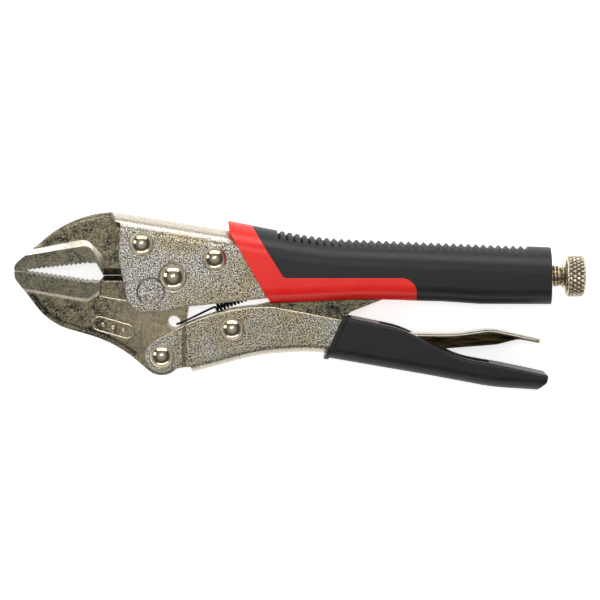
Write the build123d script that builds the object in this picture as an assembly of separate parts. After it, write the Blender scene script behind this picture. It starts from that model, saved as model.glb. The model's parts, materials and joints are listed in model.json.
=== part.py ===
from build123d import *

import math
import os

# Curved-jaw locking pliers, nominal length 250 mm, with a wire cutter behind the teeth.
#
# A pressed-steel U channel with a round back is the fixed handle. The fixed jaw's tang is riveted
# inside its front end, and its rear end closes to a tube that holds the adjusting screw. The lower
# jaw turns on a rivet through the channel. The movable handle is a second U channel, open upwards,
# whose two ears hold the tail of the lower jaw. A toggle link runs from the movable handle to the
# screw's tip: with its pivot just past the straight line it locks the jaws. The release lever in the
# movable handle pushes the link back over that line, and a tension spring opens the jaws.
#
# Design frame: origin on the jaw pivot at mid thickness, +X to the rear, +Y to the back of the fixed
# handle, +Z across the tool. The pose is closed and locked. At the end every piece is moved to the
# row frame: the tool lies on its side, centred over the origin, with its lowest face at Z = 0.
# All sizes are in millimetres and degrees.

# ---- pivots and the toggle ----
RIVET_CIRCLE = 20.0          # both fixed-jaw rivets are this far from the jaw pivot
FRONT_RIVET_ANGLE = 133.0
REAR_RIVET_ANGLE = 24.0
HANDLE_PIVOT = Vector(-5.1, -34.6)
LINK_PIVOT = Vector(25.8, -22.6)
TOGGLE_END = Vector(99.0, 0.0)      # centre of the link's round nose
RELEASE_PIVOT = Vector(88.0, -28.5)
SPRING_HOLE = Vector(0.4, -19.9)
SPRING_HOLE_RADIUS = 2.85
SPRING_ANCHOR = Vector(57.0, 0.8)

# ---- sheet channels ----
SHEET = 2.2
CHANNEL_WIDTH = 17.0
BACK_BEND = 7.6              # outside bend radius along the round back
FLOOR_BEND = 3.4             # outside bend radius along the movable handle's floor
EAR_RADIUS = 7.2             # of both ears, round the handle pivot
EAR_STEP = 4.8               # X where the ears step inwards from the channel's walls
CHANNEL_FRONT = -25.2
TUBE_START = 107.0           # here the channel closes to a tube
TUBE_END = 164.0
BACK_SLOPE = 9.3             # the back's fall towards the rear, in degrees
BACK_ARC = 700.0             # radius that brings the back level
BACK_LEVEL = 152.0           # X where the back is level
PAD_CENTRE = Vector(-9.6, -6.1)
PAD_RADIUS = 5.9
EDGE_ROUND = 0.45            # worn edge of the sheared sheet

# ---- jaws ----
NOSE = -69.4                 # X of both jaws' tips
JAW_PLATE = 11.2             # thickness of the lower jaw where it runs in the channels
HEAD_BODY = 12.6             # thickness of both heads behind the gripping land
LAND = 14.6                  # thickness across the gripping land
HEAD_ROUND = 3.0             # rounding of the heads' outer edges
TOOTH_PITCH = 2.0
TOOTH_DEPTH = 0.9
BITE_LINE = 2.7              # Y where the jaws' noses meet
CUTTER_LINE = 0.5            # Y where the cutting edges meet
JAW_GAP = 0.16               # each jaw stands this far back from the bite and the cutter line
HUB_RADIUS = 12.0
TANG_END = 26.0

# ---- rivets ----
SHANK_RADIUS = 3.0
HEAD_RADIUS = 5.0
DOME = 2.6
PIVOT_SHANK_RADIUS = 3.4
PIVOT_HEAD_RADIUS = 5.4
RELEASE_SHANK_RADIUS = 1.8
RELEASE_HEAD_RADIUS = 3.0
RELEASE_DOME = 0.8

# ---- link and release lever ----
LINK_PLATE = 9.0
LINK_BOSS_RADIUS = 8.0
LINK_NOSE_RADIUS = 3.5
LEVER_SHEET = 1.5
LEVER_WIDTH = 10.4

# ---- adjusting screw ----
THREAD_RADIUS = 4.9
THREAD_PITCH = 1.5
THREAD_GROOVE = 0.7
SCREW_REST_GAP = 2.7         # from the link's nose to the screw's tip in the stored pose
NECK_EXPOSED = 5.2           # thread showing between the grip and the knob's collar
NECK_LENGTH = 14.0           # length of tube formed in to the thread
SPIGOT_RADIUS = 3.0          # the screw's end inside the knob
SPIGOT_END_WALL = 1.6
KNOB_RADIUS = 9.2
KNOB_LENGTH = 8.8
KNOB_COLLAR_RADIUS = 6.0
KNOB_COLLAR = 1.4
KNOB_ROUND = 1.8
KNURL_COUNT = 40
KNURL_DEPTH = 0.5

# ---- grips ----
GRIP_WIDTH = 23.0
UPPER_GRIP_CROWN = 11.2      # bend radius over the top
UPPER_GRIP_SOLE = 7.0        # bend radius underneath
UPPER_GRIP_END = 165.5
UPPER_GRIP_BACK_FRONT = 24.6     # Y of the crown at the front and at the rear end
UPPER_GRIP_BACK_REAR = 12.8
UPPER_GRIP_UNDERSIDE = -12.1
RIB_PITCH = 3.28
RIB_DEPTH = 1.4
RIB_WRAP = 47.0              # degrees either side of the crown
FIRST_RIB = 46.0
LAST_RIB = 153.5
LOWER_GRIP_SOLE = 5.2
LOWER_GRIP_EDGE = 1.2
LOWER_GRIP_WALL = 1.9        # under the handle's floor
LOWER_GRIP_LIP = 1.6         # over the handle's rim
LOWER_GRIP_END = 164.6
TAIL_WALL = 3.5
LOWER_SLOT_START = 90.5      # the lever's slot
LOWER_SLOT_END = 139.0
BEAD_WIDTH = 2.0
BEAD = 0.8
BEAD_GROOVE = 0.6

# ---- tension spring ----
WIRE_RADIUS = 0.45
COIL_RADIUS = 2.2            # to the middle of the wire
COIL_PITCH = 1.62
COIL_TURNS = 20
COIL_START = Vector(18.4, -13.3)

# ---- fits ----
RIVET_FIT = 0.02             # rivet in the sheet that it is set in
RUNNING_FIT = 0.05           # pin or shaft in a hole that turns on it, on the radius
TANG_FIT = 0.1               # fixed jaw's tang in the channel, each side
SLEEVE_FIT = 0.1             # grip on its handle
SIDE_PLAY = 0.3              # lower jaw between pads and between ears, each side
END_PLAY = 0.4               # knob against the screw's shoulder
FAR = 400.0                  # longer than the tool, for cutting blocks

# ---- sizes that follow from those above ----
OUTER = CHANNEL_WIDTH / 2
INNER = OUTER - SHEET
EAR_INNER = JAW_PLATE / 2 + SIDE_PLAY
EAR_OUTER = EAR_INNER + SHEET
FRONT_RIVET = Vector(RIVET_CIRCLE, 0).rotate(Axis.Z, FRONT_RIVET_ANGLE)
REAR_RIVET = Vector(RIVET_CIRCLE, 0).rotate(Axis.Z, REAR_RIVET_ANGLE)
SCREW_TIP = TOGGLE_END.X + LINK_NOSE_RADIUS + SCREW_REST_GAP
KNOB_FRONT = UPPER_GRIP_END + NECK_EXPOSED
KNOB_END = KNOB_FRONT + KNOB_COLLAR + KNOB_LENGTH


# ======== helpers ========
def outline(*corners):
    """The face inside a polygon of (x, y) or (x, y, radius) corners, rounded by tangent arcs."""
    area = sum(a[0] * b[1] - b[0] * a[1] for a, b in zip(corners, corners[1:] + corners[:1]))
    if area < 0:
        corners = corners[::-1]
    points = [Vector(c[0], c[1]) for c in corners]
    radii = [c[2] if len(c) > 2 else 0.0 for c in corners]
    edges, arrive, leave = [], [], []
    for i, here in enumerate(points):
        back = (points[i - 1] - here).normalized()
        on = (points[(i + 1) % len(points)] - here).normalized()
        half = math.radians(back.get_angle(on)) / 2
        reach = radii[i] / math.tan(half)
        arrive.append(here + back * reach)
        leave.append(here + on * reach)
        if radii[i]:
            middle = here + (back + on).normalized() * (radii[i] / math.sin(half) - radii[i])
            edges.append(ThreePointArc(arrive[-1], middle, leave[-1]))
    for i, end in enumerate(arrive):
        if (end - leave[i - 1]).length > 1e-6:
            edges.append(Line(leave[i - 1], end))
    return make_face(edges)


def plate(face, half):
    """A face in the XY plane thickened to both sides of mid thickness."""
    return extrude(face, amount=half, both=True)


def slab(face, low, high):
    """Two mirrored plates of a face, between low and high from mid thickness, on both sides."""
    near = extrude(Pos(0, 0, low) * face, amount=high - low)
    return near + mirror(near, about=Plane.XY)


def disc(centre, radius, half):
    """A round bar across the tool."""
    return Pos(centre.X, centre.Y, 0) * Cylinder(radius, 2 * half)


def rod(radius, start, end):
    """A round bar along the screw's axis, from start to end in X."""
    turned = Rot(0, 90, 0) * Cylinder(radius, end - start)
    return Pos((start + end) / 2, 0, 0) * turned


def between(start, end):
    """A block that holds everything from start to end in X."""
    return Pos((start + end) / 2, 0, 0) * Box(end - start, FAR, FAR)


def side_edges(solid, half, test):
    """The edges of a solid that lie in its side faces, at half from mid thickness, and pass the test."""
    def beside(edge):
        box = edge.bounding_box()
        flat = box.max.Z - box.min.Z < 1e-4 and abs(abs(box.max.Z) - half) < 1e-4
        return flat and test(edge)
    return solid.edges().filter_by(beside)


def is_long(edge):
    size = edge.bounding_box().size
    return max(size.X, size.Y) > 1


def back_bar(half, drop, floor, round_floor=0.0):
    """A long bar with a round back that runs `drop` under the fixed handle's back line."""
    slope = math.radians(BACK_SLOPE)
    centre = Vector(BACK_LEVEL, OUTER + BACK_ARC)
    radius = BACK_ARC + drop
    arc = [centre - Vector(math.sin(a), math.cos(a)) * radius for a in (slope, slope / 2, 0)]
    run = (arc[0].X - CHANNEL_FRONT + FAR / 10) / math.cos(slope)
    front = arc[0] + Vector(-math.cos(slope), math.sin(slope)) * run
    rear = Vector(TUBE_END + FAR / 10, arc[2].Y)
    face = make_face([
        Line(front, arc[0]),
        ThreePointArc(*arc),
        Line(arc[2], rear),
        Line(rear, (rear.X, floor)),
        Line((rear.X, floor), (front.X, floor)),
        Line((front.X, floor), front),
    ])
    bar = plate(face, half)
    top = side_edges(bar, half, lambda edge: is_long(edge) and edge.center().Y > max(floor, 0) + 1)
    bar = fillet(top, BACK_BEND - drop)
    if round_floor:
        sole = side_edges(bar, half, lambda edge: is_long(edge) and edge.center().Y < floor + 1)
        bar = fillet(sole, round_floor)
    return bar


def rivet(centre, shank, seat, head, dome):
    """A round-headed rivet across the tool, its heads seated at `seat` each side of mid thickness."""
    rim = 0.35
    edge, top = seat + rim, seat + dome
    ball = (head ** 2 + (dome - rim) ** 2) / (2 * (dome - rim))
    half_angle = math.asin(head / ball) / 2
    shoulder = Vector(ball * math.sin(half_angle), top - ball * (1 - math.cos(half_angle)))
    face = make_face([
        Line((0, -top), (0, top)),
        ThreePointArc((0, top), (shoulder.X, shoulder.Y), (head, edge)),
        Line((head, edge), (head, seat)),
        Line((head, seat), (shank, seat)),
        Line((shank, seat), (shank, -seat)),
        Line((shank, -seat), (head, -seat)),
        Line((head, -seat), (head, -edge)),
        ThreePointArc((head, -edge), (shoulder.X, -shoulder.Y), (0, -top)),
    ])
    return Pos(centre.X, centre.Y, 0) * revolve(Plane.XZ * face, Axis.Z)


# ======== fixed handle ========
def wall_outline():
    """Side view of the channel's walls, as far as the start of the tube."""
    sole = -OUTER
    return outline(
        (CHANNEL_FRONT, 40),
        (CHANNEL_FRONT, 24.2, 0.6),
        (-22.6, 23.6, 0.8),
        (-23.9, 9.0, 24),
        (-19.0, -15.6, 7.5),
        (-6.0, -15.2, 12),
        (6.3, -12.9, 12),
        (48.0, sole, 20),
        (TUBE_START, sole),
        (TUBE_START, 40),
    )


def pad_face(grow):
    """The pressed pads that guide the lower jaw: one beside the pivot and one round it."""
    pads = Pos(PAD_CENTRE.X, PAD_CENTRE.Y) * Circle(PAD_RADIUS + grow)
    return pads + Circle(PIVOT_HEAD_RADIUS + 0.8 + grow)


def fixed_handle():
    sheared = plate(wall_outline(), OUTER)
    rims = side_edges(sheared, OUTER, lambda edge: edge.center().Y < 20 and edge.center().X < 90)
    sheared = fillet(rims, EDGE_ROUND)
    walls = back_bar(OUTER, 0, -FAR / 10) & sheared
    tube = back_bar(OUTER, 0, -OUTER, BACK_BEND) & between(TUBE_START, TUBE_END)
    hollow = back_bar(INNER, SHEET, -FAR / 8) & between(CHANNEL_FRONT - 5, TUBE_START)
    bore = back_bar(INNER, SHEET, -INNER, BACK_BEND - SHEET)
    bore = bore & between(TUBE_START - 1, TUBE_END - NECK_LENGTH)
    handle = walls + tube - hollow - bore
    handle -= rod(THREAD_RADIUS + RUNNING_FIT, TUBE_END - NECK_LENGTH - 1, TUBE_END + 1)
    press = INNER - EAR_INNER
    handle += slab(pad_face(press / 2), EAR_INNER, INNER + SHEET / 4) & sheared
    handle -= slab(pad_face(0), OUTER - press, OUTER + 1)
    handle -= disc(FRONT_RIVET, SHANK_RADIUS + RIVET_FIT, FAR)
    handle -= disc(REAR_RIVET, SHANK_RADIUS + RIVET_FIT, FAR)
    handle -= disc(Vector(), PIVOT_SHANK_RADIUS + RIVET_FIT, FAR)
    return handle + spring_tab()


def spring_tab():
    """The lanced tab, bent in from one wall, that holds the spring's rear hook."""
    reach = INNER + 1.5
    return Pos(SPRING_ANCHOR.X, SPRING_ANCHOR.Y, reach / 2 - INNER - 0.5) * Box(SHEET, 5.0, reach + 1)


# ======== jaws ========
def teeth(start, end, into):
    """The zigzag of a toothed edge from start to end, its roots `into` deep."""
    run = end - start
    count = round(run.length / TOOTH_PITCH)
    points = []
    for i in range(count):
        points.append(start + run * (i / count))
        points.append(start + run * ((i + 0.5) / count) + Vector(0, into))
    return points + [end]


def as_corners(points):
    return [(p.X, p.Y) for p in points]


def upper_mouth():
    """What the mouth takes out of the fixed jaw, teeth and round throat included."""
    throat = CUTTER_LINE + JAW_GAP
    row = teeth(Vector(-64.4, BITE_LINE + JAW_GAP), Vector(-36.4, 6.0), TOOTH_DEPTH)
    return outline(*as_corners(row), (-33.4, 6.4, 1.6), (-30.4, throat), (-30.4, throat - 3), (-64.4, throat - 3))


def lower_mouth():
    """What the mouth takes out of the lower jaw."""
    throat = CUTTER_LINE - JAW_GAP
    row = teeth(Vector(-64.4, BITE_LINE - JAW_GAP), Vector(-36.4, -1.7), -TOOTH_DEPTH)
    return outline(*as_corners(row), (-32.6, -2.4, 1.6), (-30.4, throat), (-30.4, throat + 3), (-64.4, throat + 5))


def land(foot, top, bite_side):
    """The raised gripping land, with a slope from its foot up to its flat top along the back edge.

    Each list of corners runs along the back edge, from the nose to the cutter."""
    deep = 0.5
    ends = [(NOSE - 12, bite_side)]
    low = outline(*foot, (foot[-1][0], bite_side), *ends)
    high = outline(*top, (top[-1][0], bite_side), *ends)
    block = loft([Pos(0, 0, HEAD_BODY / 2 - deep) * low, Pos(0, 0, LAND / 2) * high], ruled=True)
    return block + mirror(block, about=Plane.XY)


def upper_head_outline():
    throat, bite = CUTTER_LINE + JAW_GAP, BITE_LINE + JAW_GAP
    return outline(
        (NOSE, bite),
        (NOSE + 0.2, 5.6, 3.6),
        (-43.9, 27.4, 48),
        (-26.6, 28.2),
        (-25.6, 24.0),
        (-25.6, throat),
        (-31.0, throat),
        (-64.0, bite),
    )


def fixed_jaw():
    silhouette = upper_head_outline()
    body = plate(silhouette, HEAD_BODY / 2)
    back = side_edges(body, HEAD_BODY / 2, lambda edge: edge.center().Y > 8 and edge.center().X < -30)
    body = fillet(back, HEAD_ROUND)
    foot = [(NOSE - 12, 8.8), (-38.4, 18.4, 7.5), (-28.6, 9.6, 7)]
    top = [(NOSE - 12, 6.8), (-36.6, 14.0, 4.0), (-31.7, 6.6, 7)]
    head = body + (land(foot, top, -10) & plate(silhouette, LAND / 2))
    tang_outline = outline(
        (-26.4, 40),
        (-26.4, CUTTER_LINE + JAW_GAP),
        (-HUB_RADIUS, CUTTER_LINE + JAW_GAP),
        (TANG_END, CUTTER_LINE + JAW_GAP, 4),
        (TANG_END, 40),
    )
    tang = back_bar(INNER - TANG_FIT, SHEET + TANG_FIT, -FAR / 10)
    tang = tang & plate(tang_outline, INNER)
    tang -= disc(Vector(), HUB_RADIUS + 0.5, FAR)
    jaw = head + tang
    jaw -= plate(upper_mouth(), FAR)
    jaw -= cutter_bevel(CUTTER_LINE + JAW_GAP, 1)
    for centre in (FRONT_RIVET, REAR_RIVET):
        jaw -= disc(centre, SHANK_RADIUS + RIVET_FIT, FAR)
    return jaw


def cutter_bevel(level, up):
    """The wedge taken off each face of a jaw so that it comes to an edge at `level`."""
    edge, deep, tall = 0.5, HEAD_BODY / 2 + 1, 4.2
    wedge = make_face([
        Line((level - up, edge), (level + up * tall, deep)),
        Line((level + up * tall, deep), (level - up, deep)),
        Line((level - up, deep), (level - up, edge)),
    ])
    profile = Plane(origin=(-30.4, 0, 0), x_dir=(0, 1, 0), z_dir=(1, 0, 0)) * wedge
    cut = extrude(profile, amount=18)
    return cut + mirror(cut, about=Plane.XY)


def lower_jaw_outline():
    throat = CUTTER_LINE - JAW_GAP
    tail = HANDLE_PIVOT
    return outline(
        (NOSE, BITE_LINE - JAW_GAP),
        (NOSE + 0.3, -0.6, 3.6),
        (-54.2, -20.4, 28),
        (-24.8, -28.9, 55),
        (tail.X - 6.1, tail.Y - 6.2),
        (tail.X, tail.Y),
        (tail.X + 8.4, tail.Y),
        (7.3, -9.5),
        (0, throat),
        (-31.0, throat),
        (-64.0, BITE_LINE - JAW_GAP),
    )


def lower_jaw():
    silhouette = lower_jaw_outline()
    web = plate(silhouette, JAW_PLATE / 2)
    web += disc(Vector(), HUB_RADIUS, JAW_PLATE / 2)
    web += disc(HANDLE_PIVOT, 8.6, JAW_PLATE / 2)
    head = plate(silhouette, HEAD_BODY / 2)
    edges = side_edges(head, HEAD_BODY / 2, lambda edge: edge.center().Y < -5 and edge.center().X < -12)
    head = fillet(edges, HEAD_ROUND)
    head -= disc(Vector(), 24.6, FAR)
    head -= disc(HANDLE_PIVOT, 11.0, FAR)
    head &= between(NOSE - 1, -14)
    foot = [(NOSE - 12, -3.9), (-38.0, -12.0, 9), (-29.6, -7.4, 7)]
    top = [(NOSE - 12, -2.2), (-36.9, -9.7, 5.5), (-31.0, -4.6, 6)]
    grip = land(foot, top, 14) & plate(silhouette, LAND / 2)
    jaw = web + head + grip
    jaw -= plate(lower_mouth(), FAR)
    recess = outline((-30.6, 8), (-32.2, -8.4), (-19.0, -10.8), (-14.0, 8))
    jaw -= slab(recess, HEAD_BODY / 2 - 1.5, HEAD_BODY)
    jaw -= cutter_bevel(CUTTER_LINE - JAW_GAP, -1)
    jaw -= disc(Vector(), PIVOT_SHANK_RADIUS + RUNNING_FIT, FAR)
    jaw -= disc(HANDLE_PIVOT, SHANK_RADIUS + RUNNING_FIT, FAR)
    jaw -= disc(SPRING_HOLE, SPRING_HOLE_RADIUS, FAR)
    return jaw


# ======== movable handle ========
def rim_outline():
    """Side view of the movable handle down to its sheared rim; the sides and bottom run clear."""
    pivot = HANDLE_PIVOT
    return outline(
        (pivot.X - 5.6, pivot.Y + 5.2, 3.0),
        (8.0, -19.3, 80),
        (26.0, -13.7, 70),
        (42.5, -12.7, 20),
        (60.0, -15.9, 90),
        (98.7, -23.7, 40),
        (125.4, -37.0, 45),
        (143.0, -40.0, 80),
        (LOWER_GRIP_END + 5, -45.6),
        (LOWER_GRIP_END + 5, -70),
        (pivot.X - 5.9, -70),
    )


def floor_bar(half, rise, bend):
    """A long bar with rounded lower edges that runs `rise` above the movable handle's floor line."""
    line = outline(
        (-20.0, -49.4),
        (38.0, -34.0, 80),
        (62.0, -32.4, 80),
        (110.6, -40.8, 90),
        (140.0, -46.3, 90),
        (LOWER_GRIP_END + 20, -49.2),
        (LOWER_GRIP_END + 20, 30),
        (-20.0, 30),
    )
    bar = plate(offset(line, -rise, kind=Kind.INTERSECTION) if rise else line, half)
    sole = side_edges(bar, half, lambda edge: edge.bounding_box().size.X > 1 and edge.center().Y < 0)
    return fillet(sole, bend)


def movable_handle():
    sheared = plate(rim_outline(), OUTER)
    rims = side_edges(sheared, OUTER, lambda edge: is_long(edge) and edge.center().Y > -45)
    sheared = fillet(rims, EDGE_ROUND)
    tail = LOWER_GRIP_END - TAIL_WALL - SLEEVE_FIT
    channel = floor_bar(OUTER, 0, FLOOR_BEND) - floor_bar(INNER, SHEET, FLOOR_BEND - SHEET)
    channel = channel & sheared & between(EAR_STEP, tail)
    notch = outline((EAR_STEP - 1, -39.4), (7.6, -39.4, 0.8), (9.4, -42.6), (9.4, -60), (EAR_STEP - 1, -60))
    channel -= plate(notch, FAR)
    ear = rim_outline() & ear_window()
    ears = slab(ear + Pos(HANDLE_PIVOT.X, HANDLE_PIVOT.Y) * Circle(EAR_RADIUS), EAR_INNER, EAR_OUTER)
    handle = channel + ears
    for centre in (HANDLE_PIVOT, LINK_PIVOT):
        handle -= disc(centre, SHANK_RADIUS + RIVET_FIT, FAR)
    return handle - disc(RELEASE_PIVOT, RELEASE_SHANK_RADIUS + RIVET_FIT, FAR)


def ear_window():
    """The part of the side view that the ears take: from the pivot to the step in the channel."""
    end = EAR_STEP + 0.4
    return outline((-14, -36), (-14, -20), (end, -10), (end, -39.4), (-0.6, -40.6, 3), (-5, -42))


# ======== toggle link and release lever ========
def toggle_link():
    side = outline(
        (LINK_PIVOT.X - 5.4, LINK_PIVOT.Y + 5.9),
        (40.0, -11.9, 60),
        (TOGGLE_END.X - 1.2, TOGGLE_END.Y + LINK_NOSE_RADIUS - 0.2),
        (TOGGLE_END.X + 2.0, TOGGLE_END.Y - 2.8),
        (92.0, -9.9, 12),
        (77.2, -15.6, 5),
        (73.4, -22.4, 1.8),
        (58.0, -26.8, 20),
        (LINK_PIVOT.X + 1.0, LINK_PIVOT.Y - LINK_BOSS_RADIUS + 0.1),
    )
    side += Pos(LINK_PIVOT.X, LINK_PIVOT.Y) * Circle(LINK_BOSS_RADIUS)
    side += Pos(TOGGLE_END.X, TOGGLE_END.Y) * Circle(LINK_NOSE_RADIUS)
    link = plate(side, LINK_PLATE / 2)
    return link - disc(LINK_PIVOT, SHANK_RADIUS + RUNNING_FIT, FAR)


def lever_top(rear):
    """The upper line of the release lever, closed far below, as far back as `rear`."""
    return outline(
        (72.6, -70),
        (72.6, -24.6, 1.6),
        (97.0, -24.9, 60),
        (124.0, -25.2, 60),
        (139.5, -22.9, 22),
        (rear, -22.9 - (rear - 139.5) * 0.215),
        (rear, -70),
    )


def release_lever():
    tip = 161.6
    top = plate(lever_top(tip), LEVER_WIDTH / 2)
    bends = side_edges(top, LEVER_WIDTH / 2, lambda edge: edge.bounding_box().size.X > 1 and edge.center().Y > -30)
    top = fillet(bends, LEVER_SHEET)
    belly = outline(
        (60, 0),
        (60, -27.6),
        (73.4, -28.8, 2),
        (82.0, -32.6, 6),
        (97.0, -33.0, 20),
        (118.0, -31.6, 60),
        (142.0, -29.7, 12),
        (151.6, -27.3, 10),
        (tip + 1, -29.5),
        (tip + 1, 0),
    )
    under = offset(lever_top(150.0), -LEVER_SHEET, kind=Kind.INTERSECTION)
    lever = top & plate(belly, LEVER_WIDTH)
    lever -= plate(under, LEVER_WIDTH / 2 - LEVER_SHEET)
    tongue = Plane.XZ * Pos(tip - FAR / 2, 0) * RectangleRounded(FAR, LEVER_WIDTH, LEVER_WIDTH * 0.3)
    lever &= extrude(tongue, amount=FAR, both=True)
    return lever - disc(RELEASE_PIVOT, RELEASE_SHANK_RADIUS + RUNNING_FIT, FAR)


# ======== opening spring ========
def opening_spring():
    """The closed coil with a straight lead to the hook in the lower jaw's hole."""
    run = SPRING_ANCHOR - COIL_START
    length = COIL_TURNS * COIL_PITCH
    end = COIL_START + run.normalized() * length
    coil = Cylinder(COIL_RADIUS + WIRE_RADIUS, length)
    aim = math.degrees(math.atan2(run.Y, run.X))
    coil = Pos((COIL_START + end) / 2) * (Rot(0, 0, aim) * (Rot(0, 90, 0) * coil))
    side = (JAW_PLATE / 2 + EAR_OUTER) / 2 - 0.6
    hook = (SPRING_HOLE + Vector(1.3, -0.8), SPRING_HOLE + Vector(6.2, 1.2))
    lead = Polyline(
        (hook[0].X, hook[0].Y, side - 3),
        (hook[0].X, hook[0].Y, side),
        (hook[1].X, hook[1].Y, side),
        (COIL_START.X + 0.6, COIL_START.Y, 0),
    )
    wire = sweep(Plane(lead @ 0, z_dir=lead % 0) * Circle(WIRE_RADIUS), lead, transition=Transition.ROUND)
    tail = Polyline((end.X - 0.6, end.Y, 0), (SPRING_ANCHOR.X - SHEET / 2 - SIDE_PLAY, SPRING_ANCHOR.Y, 0))
    back = sweep(Plane(tail @ 0, z_dir=tail % 0) * Circle(WIRE_RADIUS), tail)
    return coil + wire + back


# ======== adjusting screw ========
def adjusting_screw():
    """The threaded rod with a plain spigot that carries the knob."""
    end = KNOB_END - SPIGOT_END_WALL - END_PLAY
    first = SCREW_TIP + THREAD_PITCH
    count = int((KNOB_FRONT - END_PLAY - 1 - first) / THREAD_PITCH)
    crest, root = THREAD_RADIUS, THREAD_RADIUS - THREAD_GROOVE
    points = [(SCREW_TIP, 0), (SCREW_TIP, root), (first - THREAD_PITCH / 2, root)]
    for i in range(count):
        start = first + i * THREAD_PITCH
        points.append((start - 0.12, crest))
        points.append((start + 0.12, crest))
        points.append((start + THREAD_PITCH / 2, root))
    points.append((KNOB_FRONT - END_PLAY, root))
    points.append((KNOB_FRONT - END_PLAY, SPIGOT_RADIUS))
    points.append((end, SPIGOT_RADIUS))
    points.append((end, 0))
    return revolve(outline(*points), Axis.X)


def screw_knob():
    """The round knob with a collar in front, knurled by crossing grooves."""
    grip_start = KNOB_FRONT + KNOB_COLLAR
    knob = rod(KNOB_RADIUS, grip_start, KNOB_END)
    knob = fillet(knob.edges(), KNOB_ROUND)
    knob += rod(KNOB_COLLAR_RADIUS, KNOB_FRONT, grip_start + 1)
    groove = Rot(45, 0, 0) * Box(KNOB_LENGTH + 2, KNURL_DEPTH * 1.42, KNURL_DEPTH * 1.42)
    groove = Pos(grip_start + KNOB_LENGTH / 2, 0, KNOB_RADIUS) * groove
    grooves = [Rot(360 / KNURL_COUNT * i, 0, 0) * groove for i in range(KNURL_COUNT)]
    knob -= grooves
    return knob - rod(SPIGOT_RADIUS + RUNNING_FIT, 0, KNOB_END - SPIGOT_END_WALL)


# ======== grips ========
def upper_grip_bar():
    """The grip's rounded section swept along the handle, running clear at both ends."""
    half = GRIP_WIDTH / 2
    sole = UPPER_GRIP_UNDERSIDE
    fall = UPPER_GRIP_BACK_FRONT - UPPER_GRIP_BACK_REAR
    side = outline(
        (0.0, UPPER_GRIP_BACK_FRONT + 0.4 * fall),
        (62.0, UPPER_GRIP_BACK_REAR + 0.35 * fall, 200),
        (UPPER_GRIP_END + 20, UPPER_GRIP_BACK_REAR - 0.07 * fall),
        (UPPER_GRIP_END + 20, sole),
        (134.0, sole + 0.2, 60),
        (118.0, sole + 1.3, 60),
        (83.0, sole + 2.2, 100),
        (0.0, sole - 1.6),
    )
    bar = plate(side, half)
    crown = side_edges(bar, half, lambda edge: is_long(edge) and edge.center().Y > 8 and edge.center().X > 2)
    bar = fillet(crown.filter_by(lambda edge: edge.bounding_box().size.X > 1), UPPER_GRIP_CROWN)
    soles = side_edges(bar, half, lambda edge: edge.center().Y < -8)
    return fillet(soles.filter_by(lambda edge: edge.bounding_box().size.X > 1), UPPER_GRIP_SOLE)


def upper_grip_window():
    """The grip's side view between its slanting front edge and its rear end."""
    return outline(
        (24.0, 60),
        (24.0, 24.9),
        (24.8, 19.9, 5),
        (29.0, 12.6),
        (40.4, -7.5, 20),
        (44.8, -14.0),
        (44.8, -60),
        (UPPER_GRIP_END, -60),
        (UPPER_GRIP_END, 60),
    )


def upper_grip_whole():
    body = upper_grip_bar() & plate(upper_grip_window(), FAR)
    fit = SLEEVE_FIT
    channel = back_bar(OUTER + fit, -fit, -FAR / 10)
    channel = channel & plate(offset(wall_outline(), fit, kind=Kind.INTERSECTION), FAR)
    tube = back_bar(OUTER + fit, -fit, -OUTER - fit, BACK_BEND + fit)
    tube = tube & between(TUBE_START - 1, TUBE_END + fit)
    slot = Pos((20 + TUBE_START - 5) / 2, -30, 0) * Box(TUBE_START - 5 - 20, 60, 2 * INNER)
    return body - channel - tube - slot - rod(THREAD_RADIUS + 0.8, TUBE_END, FAR)


def rib_grooves():
    """Shallow V grooves over the crown, one between each rib and the next."""
    grooves = []
    bar = upper_grip_bar()
    count = round((LAST_RIB - FIRST_RIB) / RIB_PITCH)
    half, over = RIB_PITCH * 0.49, 0.12 * RIB_DEPTH
    for i in range(count + 1):
        x = FIRST_RIB + i * RIB_PITCH
        top = (Line((x, 0), (x, 40)) & bar).bounding_box().max.Y
        vee = outline((x, top - RIB_DEPTH), (x + half, top + over), (x - half, top + over))
        axis = Axis((0, top - UPPER_GRIP_CROWN, 0), (1, 0, 0))
        turned = vee.rotate(axis, -RIB_WRAP)
        grooves.append(revolve(turned, axis, 2 * RIB_WRAP))
    return grooves


def accent_region():
    """The side view of the red accent: a sloping band in front and a strip along the sole."""
    return outline(
        (23.7, 40),
        (48.6, -0.2, 2),
        (106.5, -0.2, 6.5),
        (106.5, -30),
        (10, -30),
        (10, 40),
    )


def upper_grip():
    body = upper_grip_whole() - plate(accent_region(), FAR / 10)
    return body - rib_grooves()


def upper_grip_accent():
    return upper_grip_whole() & plate(accent_region(), FAR / 10)


def lower_grip_front(offset_x):
    """The slanting front edge of the lower grip, moved back by offset_x: its upper and lower point."""
    return (74.6 + offset_x, -16.8), (64.6 + offset_x, -39.0)


def lower_grip_body(swell):
    """The grip's outside, grown downwards by `swell`, before it is hollowed."""
    half = GRIP_WIDTH / 2
    body = floor_bar(half, -LOWER_GRIP_WALL - swell, LOWER_GRIP_SOLE)
    rim = plate(offset(rim_outline(), LOWER_GRIP_LIP, kind=Kind.INTERSECTION), half)
    edges = side_edges(rim, half, lambda edge: edge.bounding_box().size.X > 1 and edge.center().Y > -50)
    return body & fillet(edges, LOWER_GRIP_EDGE)


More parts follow.
